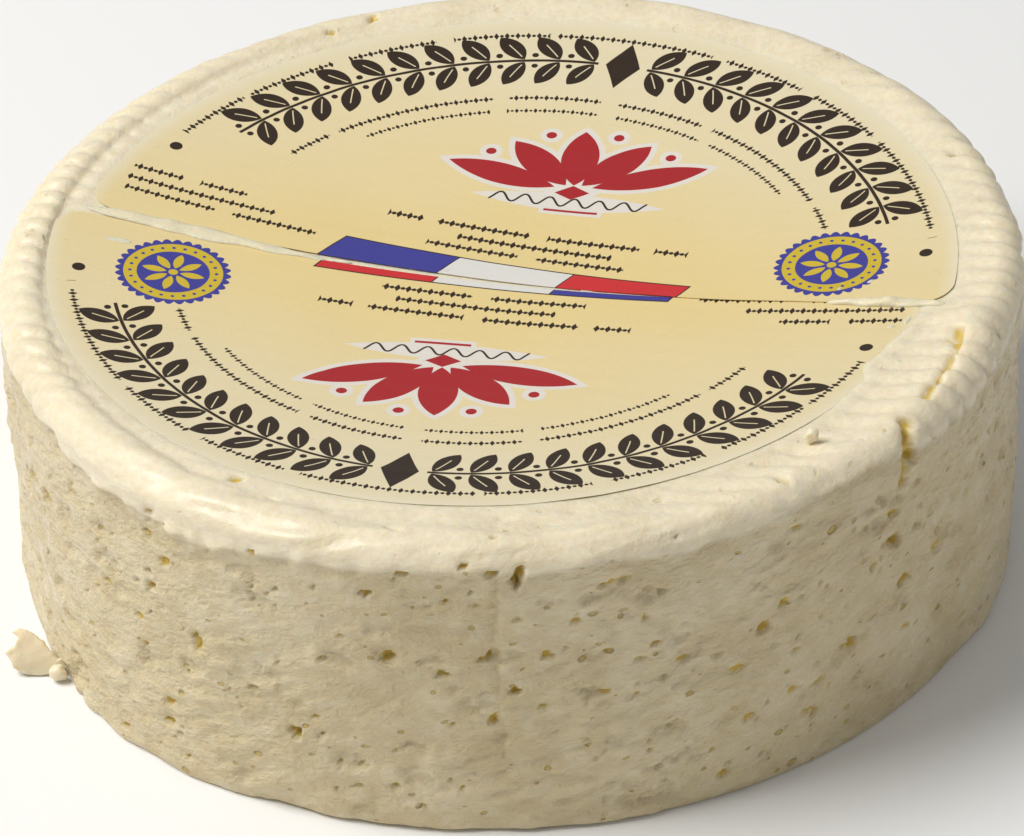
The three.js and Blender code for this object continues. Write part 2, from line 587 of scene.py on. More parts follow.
def nearest_vertex(angle, level):
    """The side vertex closest to an angle in degrees and a height in millimetres."""
    turn = math.radians(angle)
    there = np.array([RADIUS * math.cos(turn), RADIUS * math.sin(turn), level])
    return int(np.argmin(((skin - there) ** 2).sum(axis=1)))


print("holes are found by angle and height: vertex", nearest_vertex(-91, 39.0))

# %% The largest holes, each in its place
CHOSEN_HOLES = [
    # angle (degrees), height (mm), half width, half height, depth (mm), tilt (degrees)
    (-91, 39.0, 0.8, 1.5, 1.7, -14),
    (-93.6, 39.8, 0.7, 0.4, 0.8, 0),
    (-103, 39.2, 0.6, 0.35, 0.7, 0),
    (-107, 35.6, 0.7, 0.4, 0.9, 0),
    (-96.5, 40.8, 0.6, 0.3, 0.8, 10),
    (-95, 27.0, 1.1, 0.5, 0.9, 0),
    (-91.3, 21.7, 1.0, 0.5, 1.0, 15),
    (-93.4, 17.6, 0.6, 0.9, 0.9, 20),
    (-105, 26.5, 0.9, 0.7, 0.9, 25),
    (-99, 24.2, 1.0, 0.5, 0.9, -20),
    (-115.6, 12.9, 0.7, 1.1, 1.4, 35),
    (-64, 24.6, 0.9, 0.8, 1.1, -20),
    (-61, 27.5, 0.5, 0.5, 0.7, 0),
    (-45.9, 28.2, 1.5, 0.7, 1.5, -22),
    (-43.6, 21.0, 0.9, 0.7, 1.1, 20),
    (-49.5, 27.0, 0.6, 0.4, 0.8, 0),
    (-43, 39.4, 0.7, 1.2, 1.3, 10),
    (-57.2, 8.3, 0.8, 0.4, 0.8, 0),
    (-68.3, 3.8, 0.9, 0.5, 0.9, 0),
    (-134, 26.8, 1.0, 0.6, 0.9, 0),
    (-128, 22.0, 0.5, 1.2, 0.9, 5),
    (-82, 21.0, 0.8, 0.5, 0.8, 10),
    (-76, 27.0, 0.9, 0.4, 0.8, 0),
    (-119.8, 39.0, 0.6, 0.4, 0.6, 0),
]
for angle, level, wide, tall, depth, tilt in CHOSEN_HOLES:
    press_hole(nearest_vertex(angle, level), wide, tall, depth, math.radians(tilt), 1.0)
print("chosen holes:", len(CHOSEN_HOLES))

# %% Small holes scattered by seeded dice, closer together in some parts
SCATTERED = [
    # how many, half width from and to (mm), depth as a share of the width, least and most stain
    (70, 0.6, 1.1, 0.7, 0.7, 1.0),
    (340, 0.4, 0.7, 0.9, 0.3, 0.9),
    (260, 1.0, 2.4, 0.22, 0.0, 0.1),
]
TOP_HOLES = 16
DICE_SEED = 7

dice = np.random.default_rng(DICE_SEED)
crowd = 0.35 + soft_step(noise(skin, 12.0, 43), -0.3, 0.5)
side_list = np.flatnonzero((sideways > 0.9) & (height > 2.5) & (height < 38.5))
side_share = crowd[side_list] / crowd[side_list].sum()
for count, small, large, share, faint, strong in SCATTERED:
    for middle in dice.choice(side_list, count, replace=False, p=side_share):
        wide = dice.uniform(small, large)
        tall = wide * dice.uniform(0.4, 0.8)
        tilt = dice.uniform(-0.5, 0.5)
        press_hole(middle, wide, tall, share * wide, tilt, dice.uniform(faint, strong))
rim_list = np.flatnonzero((free > 0.95) & (upward > 0.3) & above)
for middle in dice.choice(rim_list, TOP_HOLES, replace=False):
    wide = dice.uniform(0.4, 0.9)
    tall = wide * dice.uniform(0.4, 1.0)
    press_hole(middle, wide, tall, 0.7 * wide, dice.uniform(-3, 3), dice.uniform(0.3, 0.7))
print("scattered holes:", sum(row[0] for row in SCATTERED) + TOP_HOLES)

# %% [markdown]
# ### Cracks
# A soft wheel cracks a little when it is lifted, and a mould leaves a faint line where it closes.
# Each is a path of a few points: the vertices close to it sink, and take on some of the holes'
# colour.

# %% Cracks: a torn line beside the labels and the faint closing line of the mould
CRACK = [
    (55.4, -23.4, 42.5),
    (54.1, -27.3, 43),
    (53.3, -29.8, 43),
    (51.4, -34, 43),
    (49.5, -37.1, 43),
]
RIFT = [(46.6, -42.4, 42.8), (46.6, -44.6, 41.5), (46.9, -45.4, 38.5), (46.2, -46, 35.5)]
MOULD_LINE = [(-3.5, -65, 39.5), (-3.9, -65, 30), (-3.6, -65, 21), (-3.0, -65, 12)]


def cut_line(path, half_width, depth, stain):
    """Sink the vertices close to a path of points, in millimetres."""
    closest = np.full(len(skin), 1e9)
    for start, end in zip(np.array(path, float), np.array(path, float)[1:]):
        way = end - start
        share = np.clip((skin - start) @ way / (way @ way), 0, 1)
        closest = np.minimum(closest, np.linalg.norm(skin - start - share[:, None] * way, axis=1))
    sunk = 1 - soft_step(closest / half_width + wobble * 0.7, 0.35, 1.0)
    move[:] -= sunk * depth
    hollow[:] = np.maximum(hollow, sunk * stain)


cut_line(CRACK, 0.75, 0.7, 0.6)
cut_line(RIFT, 1.1, 0.9, 0.7)
cut_line(MOULD_LINE, 0.6, 0.3, 0.25)
print("deepest move", round(move.min(), 2), "mm")

# %% Move the skin and keep its marks as attributes
TOP_SHIFT = (1.0, -0.3)


def add_object(name, mesh):
    piece = bpy.data.objects.new(name, mesh)
    bpy.context.scene.collection.objects.link(piece)
    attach(piece, "root")
    return piece


shaped = skin + normal * move[:, None]
shaped[:, :2] += np.outer(height / HEIGHT * soft_step(radius, 58, 61), TOP_SHIFT)
floor_gap = 0.02 * soft_step(height, 0.0, 1.5)
shaped[:, 2] = np.where(height < 0.05, 0, np.maximum(shaped[:, 2], floor_gap))
cheese_mesh.vertices.foreach_set("co", (shaped * MM).astype(np.float32).ravel())
cream = np.clip(np.maximum(cap, upward * above) + 0.3 * noise(skin, 6.0, 51), 0, 1)
for name, values in (("hollow", hollow), ("cream", cream)):
    attribute = cheese_mesh.attributes.new(name, "FLOAT", "POINT")
    attribute.data.foreach_set("value", values.astype(np.float32))
cheese_mesh.update()
cheese = add_object("cheese", cheese_mesh)
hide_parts("cheese_wheel")
print("cheese:", len(cheese_mesh.polygons), "faces")

# %% [markdown]
# ## Crumbs, smears and the torn flake
# Small things make it a fresh cheese: cream squeezed out between the labels, specks on the film,
# a crumb on the rim, and a flake of skin that hangs on at the foot. The smears and specks are
# closed balls, flattened and bent along a short path. The crumbs are balls too, and the flake is
# a torn outline with a thickness. All are roughened with the same noise as the wheel.

# %% Smears: a ball bent along a path on the top
SMEAR_SLICES = 14
SMEAR_SINK = 0.35


def path_point(path, share):
    """The point at a share of a path, and the path's direction there."""
    steps = share * (len(path) - 1)
    index = np.clip(steps.astype(int), 0, len(path) - 2)
    part = (steps - index)[:, None]
    return path[index] * (1 - part) + path[index + 1] * part, path[index + 1] - path[index]


def finish_lumps(name, bm, yellow=0.0):
    """Make a bmesh a piece of curd. It is as yellow as the inside of a hole where yellow is 1."""
    for face in bm.faces:
        face.smooth = True
    mesh = bpy.data.meshes.new(name)
    bm.to_mesh(mesh)
    bm.free()
    for attribute_name, value in (("hollow", yellow), ("cream", 1.0)):
        attribute = mesh.attributes.new(attribute_name, "FLOAT", "POINT")
        attribute.data.foreach_set("value", np.full(len(mesh.vertices), value, np.float32))
    lump = add_object(name, mesh)
    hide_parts("cheese_wheel")
    return lump


def smear(path, half_width, thick, seed, rings=40):
    """A bmesh of one smear. The path is in the plan, and all sizes are in millimetres."""
    bm = bmesh.new()
    bmesh.ops.create_uvsphere(bm, u_segments=SMEAR_SLICES, v_segments=rings, radius=1.0)
    laid_down = Matrix.Rotation(math.pi / 2, 3, "Y")
    bmesh.ops.rotate(bm, verts=bm.verts, cent=(0, 0, 0), matrix=laid_down)
    ball = np.array([vertex.co for vertex in bm.verts])
    middle, way = path_point(np.array(path, float), (ball[:, 0] + 1) / 2 * 0.9999)
    way /= np.linalg.norm(way, axis=1)[:, None]
    side = np.stack([-way[:, 1], way[:, 0]], axis=1)
    rough = 1 + 0.45 * noise(np.c_[middle, ball[:, 1] * 0], 2.4, seed)
    plan = middle + side * (ball[:, 1] * half_width * rough)[:, None]
    spots = np.c_[plan, np.zeros(len(plan))]
    bed = dish_height(np.hypot(plan[:, 0], plan[:, 1])) + film_rise(spots) + FILM
    lumpy = 1 + 0.5 * noise(spots, 1.6, seed + 1) + 0.3 * noise(spots, 0.8, seed + 2)
    rise = np.where(ball[:, 2] > 0, thick * ball[:, 2] * lumpy, SMEAR_SINK * ball[:, 2])
    for vertex, spot, level in zip(bm.verts, plan, bed + rise):
        vertex.co = Vector((spot[0], spot[1], level)) * MM
    return bm


SEAM_YELLOW = 0.14
SMEARS = {
    # path along x and y, half width, thickness (mm), seed
    "seam_cream_left": (
        [(-53.6, 15.9), (-48, 14.6), (-41, 12.6), (-33, 10.0), (-22.8, 6.5)],
        1.25,
        0.46,
        70,
    ),
    "seam_cream_right": (
        [(40.5, -11.6), (45, -12.9), (49, -14.2), (52.5, -15.5), (55, -16.6)],
        0.9,
        0.75,
        73,
    ),
}
for name, (path, half_width, thick, seed) in SMEARS.items():
    lump = finish_lumps(name, smear(path, half_width, thick, seed), SEAM_YELLOW)
    print(name, len(lump.data.polygons), "faces")

# %% Specks on the film, and a crumb on the rim
SPECKS = [
    # along x, along y, half length, half width, thickness (mm), turn (degrees)
    (-17.6, 6.9, 0.9, 0.35, 0.10, 20),
    (-14.2, 6.3, 0.5, 0.3, 0.10, -30),
    (-7.4, 3.6, 0.9, 0.45, 0.12, 10),
    (-11.5, 4.7, 0.6, 0.3, 0.10, 0),
    (8.9, -0.9, 0.9, 0.4, 0.12, 15),
    (10.8, -2.4, 1.1, 0.45, 0.12, -12),
    (14.0, -2.7, 0.6, 0.3, 0.10, 0),
    (-20.6, 6.2, 1.3, 0.3, 0.10, -15),
    (42.2, -9.0, 0.8, 0.5, 0.14, 30),
    (46.0, -8.5, 1.0, 0.35, 0.12, 35),
    (40.6, -7.8, 0.5, 0.3, 0.1, 0),
    (-49.3, 9.1, 1.8, 0.5, 0.10, -10),
    (47.9, -19.6, 0.5, 0.3, 0.10, 0),
    (50.0, -18.8, 0.9, 0.4, 0.12, 60),
]
SPECK_SEED = 80


def merge_into(bm, other):
    """Copy one bmesh into another, and free it."""
    mesh = bpy.data.meshes.new("part")
    other.to_mesh(mesh)
    other.free()
    bm.from_mesh(mesh)
    bpy.data.meshes.remove(mesh)


specks = bmesh.new()
for number, (x, y, half_length, half_width, thick, turn) in enumerate(SPECKS):
    way = np.array([math.cos(math.radians(turn)), math.sin(math.radians(turn))]) * half_length
    path = [np.array([x, y]) - way, np.array([x, y]), np.array([x, y]) + way]
    merge_into(specks, smear(path, half_width, thick, SPECK_SEED + number, rings=12))
finish_lumps("film_specks", specks)


def crumb(name, place, size, seed):
    """A rough ball of curd."""
    bm = bmesh.new()
    bmesh.ops.create_icosphere(bm, subdivisions=4, radius=1.0)
    ball = np.array([vertex.co for vertex in bm.verts])
    rough = 1 + 0.28 * noise(ball, 0.9, seed) + 0.12 * noise(ball, 0.4, seed + 1)
    for vertex, spot in zip(bm.verts, ball * rough[:, None] * np.array(size) + np.array(place)):
        vertex.co = Vector(spot) * MM
    return finish_lumps(name, bm)


rim_crumb = crumb("rim_crumb", (36.2, -44.6, 42.9), (0.95, 0.9, 0.85), 95)
crumb("neck_crumb", (-58.9, -30.0, 1.3), (1.05, 0.8, 1.2), 97)
print("specks:", len(SPECKS), "crumb faces:", len(rim_crumb.data.polygons))

# %% The flake at the foot
FLAKE_ROOT = (-58.9, -28.4, 1.9)
FLAKE_AWAY = (-1.0, 0.06, 0.0)
FLAKE_UP = (0.0, 0.45, 0.89)
FLAKE_THICKNESS = 1.0
FLAKE_YELLOW = 0.15
FLAKE_OUTLINE = [
    # away from the root, up the leaf (mm)
    (-1.5, 0.9), (0.0, 0.3), (1.0, 1.3), (1.8, 2.4), (2.8, 3.2), (4.0, 3.9),
    (5.0, 4.2), (5.9, 3.8), (5.0, 3.1), (5.4, 2.1), (6.9, 1.2), (6.0, 0.0),
    (5.8, -0.8), (4.7, -1.5), (2.6, -1.9), (1.2, -1.6), (0.0, -1.0), (-1.5, -0.9),
]


def cut(bm, place, outward, keep_all=False):
    """Slice a mesh with a plane, and drop what lies outside it unless all is kept."""
    parts = bm.verts[:] + bm.edges[:] + bm.faces[:]
    bmesh.ops.bisect_plane(bm, geom=parts, plane_co=place, plane_no=outward, clear_outer=not keep_all)


def flake_mesh():
    bm = bmesh.new()
    rim = [bm.verts.new((x, y, 0)) for x, y in FLAKE_OUTLINE]
    face = bm.faces.new(rim)
    bm.normal_update()
    bmesh.ops.solidify(bm, geom=[face], thickness=FLAKE_THICKNESS)
    bmesh.ops.recalc_face_normals(bm, faces=bm.faces)
    for x in np.arange(-0.9, 6.8, 0.6):
        cut(bm, (x, 0, 0), (1, 0, 0), keep_all=True)
    for y in np.arange(-1.5, 4.0, 0.6):
        cut(bm, (0, y, 0), (0, 1, 0), keep_all=True)
    bmesh.ops.triangulate(bm, faces=[face for face in bm.faces if len(face.verts) > 4])
    bmesh.ops.subdivide_edges(bm, edges=bm.edges[:], cuts=1, use_grid_fill=True, smooth=0.0)
    every_way = {"use_axis_x": True, "use_axis_y": True, "use_axis_z": True}
    for _ in range(2):
        bmesh.ops.smooth_vert(bm, verts=bm.verts, factor=0.5, **every_way)
    leaf = np.array([vertex.co for vertex in bm.verts])
    leaf[:, 2] += 0.05 * leaf[:, 1] ** 2 + 0.4 * noise(leaf, 2.5, 91) + 0.15 * noise(leaf, 1.1, 92)
    leaf[:, :2] += 0.15 * np.c_[noise(leaf, 1.3, 93), noise(leaf, 1.3, 94)]
    axes = np.array([FLAKE_AWAY, FLAKE_UP, np.cross(FLAKE_AWAY, FLAKE_UP)])
    turned = leaf @ axes + np.array(FLAKE_ROOT)
    turned[:, 2] = np.maximum(turned[:, 2], 0.02)
    for vertex, spot in zip(bm.verts, turned):
        vertex.co = Vector(spot) * MM
    return bm


flake = finish_lumps("torn_flake", flake_mesh(), FLAKE_YELLOW)
print("flake:", len(flake.data.polygons), "faces")

# %% [markdown]
# ## The finish of the cheese
# Curd is moist and a little translucent: light goes in, wanders and comes out warmer, which is
# what subsurface scattering does. The cap is whiter than the side, holes are ochre inside, and a
# fine grain too small for the mesh is left to a bump. The pinholes are the middles of the cells of
# a Voronoi pattern, and only some of the cells have one. Their dark ochre is partly their own
# colour and partly painted shade, since the bump doesn't darken them.

# %% Cheese material
SIDE_TONES = [
    (0.0, tone(0.61, 0.495, 0.295)),
    (0.5, tone(0.665, 0.555, 0.345)),
    (1.0, tone(0.715, 0.615, 0.41)),
]
CAP_TONES = [(0.0, tone(0.80, 0.70, 0.50)), (1.0, tone(0.86, 0.775, 0.59))]
# Dark ochre for the pinholes: partly their own colour, partly painted shade in the pits.
PINHOLE_OCHRE_AND_SHADE = tone(0.54, 0.38, 0.09)
HOLE_RIM_TONE = tone(0.66, 0.54, 0.28)
HOLE_TONE = tone(0.68, 0.47, 0.09)
STREAK_SLANT = -0.28
STREAK_FLAT = 0.6
SWAY = 1.1 * MM
RELIEF = 0.4 * MM
SCATTER = 1.6 * MM


def per_metre(size_mm):
    """The scale of a pattern whose features are this many millimetres across."""
    return 1000.0 / size_mm


def cheese_finish():
    material, shader, start = new_finish("cheese")
    place = start.node("ShaderNodeTexCoord", output="Object")
    slant = {"Vector": place, "Rotation": (0, STREAK_SLANT, 0), "Scale": (1, 1, STREAK_FLAT)}
    flat_place = place.node("ShaderNodeMapping", {"vector_type": "TEXTURE"}, slant)
    hole = place.node("ShaderNodeAttribute", {"attribute_name": "hollow"}, output="Fac")
    cream = place.node("ShaderNodeAttribute", {"attribute_name": "cream"}, output="Fac")

    def cloud(where, size_mm, detail):
        inputs = {"Vector": where, "Scale": per_metre(size_mm), "Detail": detail}
        return place.node("ShaderNodeTexNoise", {}, inputs, "Fac")

    wander = {"Vector": place, "Scale": per_metre(1.5), "Detail": 2.0}
    sway = place.node("ShaderNodeTexNoise", {}, wander, "Color")
    bend = {0: sway, 1: (SWAY, SWAY, SWAY), 2: flat_place}
    bent_place = place.node("ShaderNodeVectorMath", {"operation": "MULTIPLY_ADD"}, bend)

    def pits(size_mm, share, widest):
        """Small pits in the middles of a share of the cells of a Voronoi pattern."""
        inputs = {"Vector": bent_place, "Scale": per_metre(size_mm)}
        cells = place.node("ShaderNodeTexVoronoi", {}, inputs, "Distance")
        color = cells.out("Color")
        chance = color.node("ShaderNodeSeparateColor", {}, {"Color": color}, "Red")
        return ((chance - (1 - share)) * (widest / share) - cells).between(-0.03, 0.05)

    streaks = cloud(flat_place, 3.2, 5.0).between(0.4, 0.66)
    patches = cloud(place, 11.0, 3.0).between(0.35, 0.65)
    grain = cloud(place, 0.42, 3.0)
    grit = cloud(bent_place, 1.0, 3.0)
    pinhole = pits(3.6, 0.3, 0.2).math("MAXIMUM", pits(1.9, 0.24, 0.26))
    pinhole = pinhole * (1 - cream * 0.9)

    side_share = {"Fac": patches * 0.45 + streaks * 0.55}
    side_tone = place.node("ShaderNodeValToRGB", {"stops": SIDE_TONES}, side_share)
    cap_share = {"Fac": grit.between(0.3, 0.7)}
    cap_tone = place.node("ShaderNodeValToRGB", {"stops": CAP_TONES}, cap_share)
    curd = side_tone.mix(cap_tone, cream)
    # Pinholes take a dark ochre: partly their own colour, partly painted shade in the pits.
    curd = curd.mix(PINHOLE_OCHRE_AND_SHADE, pinhole * 0.85)
    edge = hole + (grit - 0.5) * 0.5 * hole.between(0.0, 0.3)
    curd = curd.mix(HOLE_RIM_TONE, edge.between(0.08, 0.35) * 0.7)
    curd = curd.mix(HOLE_TONE, edge.between(0.38, 0.62))
    shader_in = shader.inputs
    curd.plug(shader_in["Base Color"], curd)
    curd.plug(shader_in["Roughness"], grit.between(0.3, 0.8) * 0.2 + 0.38)
    curd.plug(shader_in["Coat Weight"], streaks * 0.45)
    relief = grain * 0.15 + (grit * 1.25 + streaks * 0.6) * (1 - cream * 0.82) - pinhole * 1.4
    raised = {"Height": relief, "Distance": RELIEF, "Strength": 0.9}
    bump = relief.node("ShaderNodeBump", {}, raised)
    curd.plug(shader_in["Normal"], bump)
    shader_in["Coat Roughness"].default_value = 0.16
    shader_in["Subsurface Weight"].default_value = 0.4
    shader_in["Subsurface Radius"].default_value = (1.0, 0.62, 0.25)
    shader_in["Subsurface Scale"].default_value = SCATTER
    shader_in["Specular IOR Level"].default_value = 0.35
    return material


cheese_material = cheese_finish()
for piece in bpy.context.scene.objects:
    if piece.type == "MESH" and "cream" in piece.data.attributes:
        piece.data.materials.append(cheese_material)
print("cheese finish:", len(cheese_material.node_tree.nodes), "nodes")

# %% [markdown]
# ## The two labels: sheets of film
# Each label is a printed film, a little less than half a disc, which clings to the sagging top. A
# capped circle is cut along a chord, its two sharp corners are planed round by tangent cuts, and
# parallel cuts give it rows that can bend. Every vertex is then laid on the dish, and a Solidify
# modifier gives the film its thickness. The back label rides over the front one along the seam.

# %% Label sheets
LABEL_CORNER = 4.0
CORNER_CUTS = 9
OVERLAP_LIFT = 0.14
COLUMN_STEP = 2.0
ROW_STEP = 0.8
ARC_STEPS = 200
PRINT_WIDE = 120.0
PRINT_HIGH = 60.0


def half_disc(chord):
    """A flat sheet with an arc, a chord, round corners and rows that can bend."""
    bm = bmesh.new()
    bmesh.ops.create_circle(bm, cap_ends=True, segments=ARC_STEPS, radius=LABEL_EDGE)
    cut(bm, (0, chord, 0), (0, -1, 0))
    up = chord + LABEL_CORNER
    away = math.sqrt((LABEL_EDGE - LABEL_CORNER) ** 2 - up**2)
    for side in (-1, 1):
        for turn in np.linspace(-math.pi / 2, math.atan2(up, away), CORNER_CUTS):
            outward = Vector((side * math.cos(turn), math.sin(turn), 0))
            cut(bm, Vector((side * away, up, 0)) + LABEL_CORNER * outward, outward)
    for x in np.arange(-LABEL_EDGE + COLUMN_STEP, LABEL_EDGE, COLUMN_STEP):
        cut(bm, (x, 0, 0), (1, 0, 0), keep_all=True)
    for y in np.arange(chord + ROW_STEP, LABEL_EDGE, ROW_STEP):
        cut(bm, (0, y, 0), (0, 1, 0), keep_all=True)
    for edge in bm.edges:
        edge.smooth = not edge.is_boundary
    return bm


def map_print(bm, print_turn):
    """Each spot's place in the print, in millimetres, brought into the unit square."""
    print_map = bm.loops.layers.uv.new("print")
    turned = Matrix.Rotation(-print_turn, 3, "Z")
    for face in bm.faces:
        face.smooth = True
        for loop in face.loops:
            spot = turned @ loop.vert.co
            loop[print_map].uv = (spot.x / PRINT_WIDE + 0.5, spot.y / PRINT_HIGH)


print("a label's rows are", ROW_STEP, "mm apart")

# %% Lay the sheets on the dish
def make_label(name, node, label, print_turn, over_seam):
    """A label that replaces a node. It rises by over_seam, in millimetres, next to the seam."""
    bm = half_disc(label["chord"])
    map_print(bm, math.radians(print_turn))
    mesh = bpy.data.meshes.new(name)
    bm.to_mesh(mesh)
    bm.free()
    flat = read_vectors(mesh.vertices, "co")
    past_seam = flat[:, 1] - label["chord"]
    sheet = flat @ np.array(Matrix.Rotation(label["turn"], 3, "Z")).T + np.array((*label["place"], 0))
    lift = over_seam * (1 - soft_step(past_seam, 3, 9))
    curl = over_seam * np.exp(-past_seam / 0.9) * (0.1 + 0.5 * noise(sheet, 9.0, 62) ** 2)
    bed = dish_height(np.hypot(sheet[:, 0], sheet[:, 1]))
    sheet[:, 2] = bed + film_rise(sheet) + lift + curl
    mesh.vertices.foreach_set("co", (sheet * MM).astype(np.float32).ravel())
    mesh.update()
    piece = add_object(name, mesh)
    wall = piece.modifiers.new("film", "SOLIDIFY")
    wall.thickness = FILM * MM
    wall.offset = 1
    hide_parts(node)
    return piece


front_label = make_label("front_label", "label_front", FRONT, 0.7, 0.0)
back_label = make_label("back_label", "label_back", BACK, -3.0, OVERLAP_LIFT)
print("labels:", len(front_label.data.polygons), "and", len(back_label.data.polygons), "faces")

# %% [markdown]
# ## The print: shapes from distances
# A printed shape can be drawn without a picture: at each spot the shader works out how far that
# spot lies from the shape, and puts ink where the distance is below zero. A dot is the length of
# a vector less a radius. An almond leaf is the overlap of two circles. A row is one shape drawn
# again and again by folding the distance along it back and forth.

# %% Distances and ink
INK_EDGE = 0.035


def ink(distance):
    """1 inside a shape and 0 outside it, for a distance in millimetres."""
    return distance.between(INK_EDGE, -INK_EDGE)


def turned_pair(x, y, turn):
    """The place (x, y) seen from axes turned by an angle."""
    cosine = math.cos(turn)
    sine = math.sin(turn)
    return x * cosine + y * sine, y * cosine - x * sine


def dot(x, y, radius):
    return x.length(y) - radius


def lozenge(x, y, half_wide, half_tall):
    slope = half_wide * half_tall / math.hypot(half_wide, half_tall)
    return (abs(x) / half_wide + abs(y) / half_tall - 1) * slope


def almond(x, y, turn, half_length, half_width):
    """A leaf pointed at both ends, its middle at the origin."""
    arc = (half_length**2 + half_width**2) / (2 * half_width)
    along, across = turned_pair(x, y, turn)
    return along.length(abs(across) + (arc - half_width)) - arc


def bead_row(along, across, half_length, pitch, half_tall):
    """Lozenges and beads in turn, in groups of uneven length, up to half_length either way."""
    fold = along.math("PINGPONG", pitch / 2)
    row = lozenge(fold, across, half_tall * 0.55, half_tall)
    row = row.least(dot(fold - pitch / 2, across, half_tall * 0.4))
    groups = (along * 0.83 + half_length).math("SINE") + (along * 0.47 + pitch).math("SINE")
    return ink(row) * ink(abs(along) - half_length) * ink(groups - 1.35)


print("a leaf 5 by 2 is cut from circles of", (2.5**2 + 1) / 2, "radius")

# %% Rows of beads, and a garland along the arc
BAND_RADIUS = 48.8
BAND_START = 3.4
LEAF_PITCH = 4.75
LEAF_PAIRS = 11
LEAF_LEAN = math.radians(56)
ARC_ROWS = [
    # radius, half turn (degrees), pitch, half height (mm)
    (53.9, 71, 1.45, 0.66),
    (41.0, 63, 1.35, 0.62),
    (38.3, 48, 1.25, 0.52),
]
STRAIGHT_ROWS = [
    # middle along, across, half length, pitch, half height (mm)
    (0.0, 11.0, 20.3, 1.45, 0.78),
    (0.4, 8.5, 10.4, 1.45, 0.78),
    (-0.4, 6.1, 13.6, 1.45, 0.78),
    (-46.6, 8.0, 7.8, 1.4, 0.72),
    (-44.2, 5.5, 10.2, 1.4, 0.72),
    (-41.0, 3.1, 13.4, 1.4, 0.72),
]
SIDE_DOT = (51.0, 14.2)


def garland(radius, turn):
    """A stem bent round an arc, with pairs of leaves and berries that grow from its middle."""
    along = abs(turn) * BAND_RADIUS - BAND_START
    cell = (along / LEAF_PITCH).math("FRACT") * LEAF_PITCH
    out = abs(radius - BAND_RADIUS)
    leaf = almond(cell - 2.1, out - 2.55, LEAF_LEAN, 2.75, 1.4)
    leaf_along, leaf_across = turned_pair(cell - 2.1, out - 2.55, LEAF_LEAN)
    vein = ink(abs(leaf_across) - 0.08) * ink(abs(leaf_along + 0.6) - 1.5)
    grown = leaf.least(out - 0.24).least(dot(cell - 3.9, out - 1.1, 0.45))
    reach = ink(along - LEAF_PAIRS * LEAF_PITCH) * ink(-along)
    middle = lozenge(turn * BAND_RADIUS, radius - BAND_RADIUS, 2.4, 4.6)
    return (ink(grown) * (1 - vein) * reach).math("MAXIMUM", ink(middle))


def dark_print(u, v):
    """The garland, the rows of beads and a dot on either side: 1 where there is ink."""
    radius = u.length(v)
    turn = u.math("ARCTAN2", v)
    rows = garland(radius, turn)
    for level, reach, pitch, half_tall in ARC_ROWS:
        half_length = math.radians(reach) * level
        row = bead_row(turn * level, radius - level, half_length, pitch, half_tall)
        rows = rows.math("MAXIMUM", row)
    for middle, level, half_length, pitch, half_tall in STRAIGHT_ROWS:
        row = bead_row(u - middle, v - level, half_length, pitch, half_tall)
        rows = rows.math("MAXIMUM", row)
    side_dot = dot(abs(u) - SIDE_DOT[0], v - SIDE_DOT[1], 0.85)
    return rows.math("MAXIMUM", ink(side_dot))


print("rows of beads:", len(ARC_ROWS) + len(STRAIGHT_ROWS))

# %% A lotus, and a looping pen line
FAN_TURN = math.radians(9)
FAN_BASE = 5.4
FAN_LEAVES = [
    # turn from upright (degrees), half length, half width, gap at the base (mm)
    (0, 5.8, 2.5, 1.2),
    (42, 6.0, 2.3, 1.6),
    (73, 7.7, 2.1, 2.6),
]
FAN_BEADS = [
    # turn from upright (degrees), distance from the base, radius (mm)
    (21, 12.6, 0.7),
    (57.5, 14.2, 0.7),
]
PEN_SWING = 0.85
PEN_PITCH = 3.3
PEN_HALF_WIDTH = 0.16


def fan(x, y):
    """How far a spot is from a lotus of round petals and beads, mirrored about its middle."""
    along, across = turned_pair(x, y, FAN_TURN)
    distance = lozenge(along, across + FAN_BASE + 0.4, 2.3, 1.5)
    for turn, half_length, half_width, gap in FAN_LEAVES:
        lean = math.radians(90 - turn)
        reach = half_length + gap
        leaf_x = abs(along) - reach * math.cos(lean)
        leaf_y = across + FAN_BASE - reach * math.sin(lean)
        distance = distance.least(almond(leaf_x, leaf_y, lean, half_length, half_width))
    for turn, reach, size in FAN_BEADS:
        lean = math.radians(90 - turn)
        bead_x = abs(along) - reach * math.cos(lean)
        bead_y = across + FAN_BASE - reach * math.sin(lean)
        distance = distance.least(dot(bead_x, bead_y, size))
    return distance


def flourish(x, y):
    """How far a spot is from a thin looping pen line."""
    rate = 2 * math.pi / PEN_PITCH
    wave = (x * rate).math("SINE")
    slope = (x * rate).math("COSINE") * (PEN_SWING * rate)
    return abs(y - wave * PEN_SWING) / (slope * slope + 1).math("SQRT") - PEN_HALF_WIDTH


print("lotus petals:", 2 * len(FAN_LEAVES) - 1)

# %% [markdown]
# ### Colours and ornaments
# Ink is laid on the paper one layer after another, as in printing: first the paper's own tint,
# then the dark rows, and then each coloured ornament over them.

# %% Papers and inks
SEAM_PAPER = tone(0.82, 0.635, 0.29)
ARC_PAPER = tone(0.80, 0.69, 0.46)
EDGE_PAPER = tone(0.84, 0.76, 0.56)
HALO_PAPER = tone(0.78, 0.72, 0.64)
BROWN_INK = tone(0.030, 0.016, 0.007)
RED_INK = tone(0.40, 0.016, 0.020)
BLUE_INK = tone(0.050, 0.050, 0.30)
BAR_RED = tone(0.62, 0.028, 0.032)
BAR_WHITE = tone(0.76, 0.73, 0.68)
SEAL_YELLOW = tone(0.64, 0.47, 0.035)


def print_cloud(spot, scale, detail):
    """Noise that lies on the print, from 0 to 1."""
    inputs = {"Vector": spot, "Scale": scale, "Detail": detail}
    return spot.node("ShaderNodeTexNoise", {}, inputs, "Fac")


